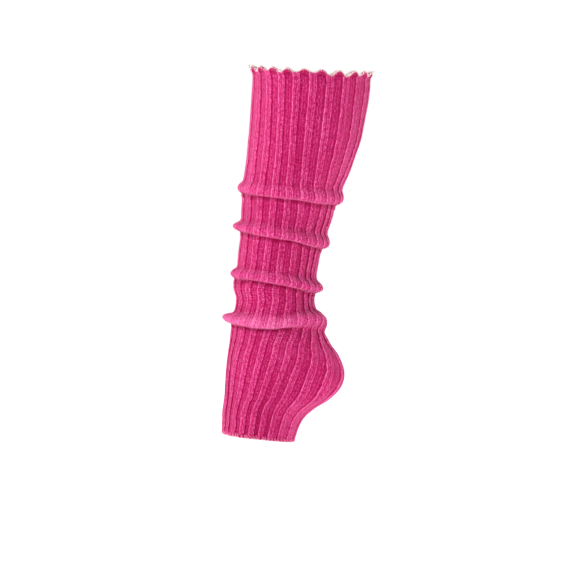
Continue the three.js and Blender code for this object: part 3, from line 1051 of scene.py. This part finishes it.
@dataclass(frozen=True)
class BackdropFinish:
    """A matt white paper sweep."""

    name: str = "white_sweep"
    colour: tuple = dye(250, 250, 250)

    def material(self) -> bpy.types.Material:
        """Builds the finish, with the paper's faint mottle."""
        graph = Graph.material(self.name)
        mottle = graph.noise(3.0, 2.0)
        paper = graph.mix_colour(mottle * 0.02, self.colour, dye(240, 240, 240))
        glow = {"Emission Color": dye(255, 255, 255), "Emission Strength": 0.75}
        constants = {"Specular IOR Level": 0.0, **glow}
        return graph.finish(constants, {"Base Color": paper, "Roughness": 0.95 + mottle * 0.04})


@dataclass(frozen=True)
class SoftBox:
    """One square studio light, aimed at the leg warmer."""

    name: str
    place: tuple[float, float, float]
    size: float
    watts: float


@dataclass
class Studio:
    """The floor, the pale surroundings, the soft lights and the camera."""

    aim: tuple[float, float, float] = (0.0, -0.0245, -0.2005)
    view_width: float = 0.573
    distance: float = 4.0
    elevation_deg: float = 3.0
    sensor_mm: float = 36.0
    sees_to: float = 60.0
    floor_level: float = -0.47
    floor_size: float = 24.0
    floor_lines: int = 9
    at_eye_level: float = 1.0
    overhead: float = 0.25
    dimming: tuple[float, float] = (0.06, 0.32)
    boxes: tuple[SoftBox, ...] = (
        SoftBox("shin_side_box", (0.6, -2.2, 1.6), 0.6, 35.0),
        SoftBox("shin_rim_box", (-0.5, -2.7, 0.7), 1.0, 26.0),
        SoftBox("heel_side_box", (0.1, 2.6, 1.1), 1.2, 20.0),
        SoftBox("top_box", (0.6, -0.3, 2.4), 0.8, 26.0),
    )

    def build(self) -> None:
        """Sets out the whole studio."""
        self.floor()
        self.surroundings()
        for box in self.boxes:
            self.light(box)
        self.camera()
        bpy.context.scene.view_settings.view_transform = "Standard"

    def floor(self) -> None:
        """Lays a plain pale floor under the leg warmer, as one wide grid."""
        lines = self.floor_lines
        line = np.linspace(-0.5, 0.5, lines) * self.floor_size
        x, y = np.meshgrid(line, line, indexing="ij")
        points = np.stack([x, y, np.full_like(x, self.floor_level)], axis=-1).reshape(-1, 3)
        first = (np.arange(lines - 1)[:, None] * lines + np.arange(lines - 1)).reshape(-1, 1)
        piece = mesh_piece("floor", points, first + [0, lines, lines + 1, 1])
        piece.data.materials.append(BackdropFinish().material())

    def surroundings(self) -> None:
        """Makes the pale surroundings: white at the level of the eye, dimmer overhead."""
        graph = Graph(bpy.data.worlds.new("studio"))
        bpy.context.scene.world = graph.owner
        place = graph.node("TexCoord").out("Generated")
        height = graph.node("SeparateXYZ", {0: place}).out("Z")
        dimmed = height.size().between(*self.dimming)
        strength = self.at_eye_level - dimmed * (self.at_eye_level - self.overhead)
        sky = graph.node("Background", {"Color": (1.0, 1.0, 1.0, 1.0), "Strength": strength})
        graph.node("OutputWorld", {"Surface": sky.out(0)})

    def light(self, box: SoftBox) -> None:
        """Hangs one square soft box."""
        data = bpy.data.lights.new(box.name, "AREA")
        data.shape, data.size, data.energy = "SQUARE", box.size, box.watts
        self.aimed(box.name, data, Vector(box.place))

    def camera(self) -> None:
        """Places the camera to the side, a little above, with the photograph's frame round the aim."""
        rise = math.radians(self.elevation_deg)
        away = Vector((math.cos(rise), 0.0, math.sin(rise))) * self.distance
        data = bpy.data.cameras.new("camera")
        data.sensor_width, data.clip_end = self.sensor_mm, self.sees_to
        data.lens = self.sensor_mm * self.distance / self.view_width
        bpy.context.scene.camera = self.aimed("camera", data, Vector(self.aim) + away)

    def aimed(self, name: str, data: bpy.types.ID, place: Vector) -> Piece:
        """Puts a light or a camera at a place and turns it to the aim.

        Args:
            name: Its name.
            data: The light or camera.
            place: Where it goes.

        Returns:
            Its object, linked to the scene.
        """
        made = bpy.data.objects.new(name, data)
        turn = (place - Vector(self.aim)).to_track_quat("Z", "Y").to_matrix().to_4x4()
        made.matrix_world = Matrix.Translation(place) @ turn
        bpy.context.scene.collection.objects.link(made)
        return made


@dataclass
class LegWarmer:
    """The whole leg warmer: the knit tube and the threads on its two edges."""

    tube: KnitTube = field(default_factory=KnitTube)
    flat: tuple[float, float] = (0.24, 0.50)
    top_wrap: OverlockThread = OverlockThread(
        EdgeThread.TOP_WRAP, wraps=236, radius=0.40 * MM, beyond_face=0.20 * MM, reach=0.95 * MM,
        offset=0.35 * MM, seed=2,
    )
    hem_wrap: OverlockThread = OverlockThread(
        EdgeThread.HEM_WRAP, wraps=68, radius=0.75 * MM, beyond_face=0.60 * MM, reach=1.5 * MM,
        offset=-1.3 * MM, seed=4,
    )
    hem_chain: OverlockThread = OverlockThread(
        EdgeThread.HEM_CHAIN, wraps=62, radius=0.42 * MM, beyond_face=0.95 * MM, reach=0.80 * MM,
        offset=0.25 * MM, seed=6,
    )

    def build(self) -> None:
        """Builds and dresses every piece, and hides the imported parts that the tube and its threads stand in
        for.
        """
        cloth, top, hem = self.tube.build()
        cream = ThreadFinish("overlock_cream", dye(255, 252, 246), dye(242, 226, 218)).material()
        rose = ThreadFinish("overlock_pink", dye(246, 106, 168), dye(200, 36, 108)).material()
        self.dress(cloth, RibKnitFinish().material(), "rib_knit")
        threads = {
            "top_edge_thread": self.dress(self.top_wrap.build(top), cream, "overlock_thread"),
            "hem_thread": self.dress(self.hem_chain.build(hem), cream, "overlock_thread"),
        }
        band = self.dress(self.hem_wrap.build(hem), rose, "rib_knit")
        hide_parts("leg_tube")
        for node, piece in threads.items():
            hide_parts(node)

    @staticmethod
    def dress(piece: Piece, material: bpy.types.Material, slot: str) -> Piece:
        """Gives a piece its finish and the body that it rides on, and logs its size.

        Args:
            piece: The piece.
            material: Its finish.
            slot: The record's material slot; not used.

        Returns:
            The same piece.
        """
        piece.data.materials.append(material)
        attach(piece, "root")
        LOG.info("%s: %d points, %d faces", piece.name, len(piece.data.vertices), len(piece.data.polygons))
        return piece


def main() -> None:
    """Builds the leg warmer and its studio."""
    logging.basicConfig(level=logging.INFO, format="%(message)s")
    LegWarmer().build()
    Studio().build()


if __name__ == "__main__":
    main()
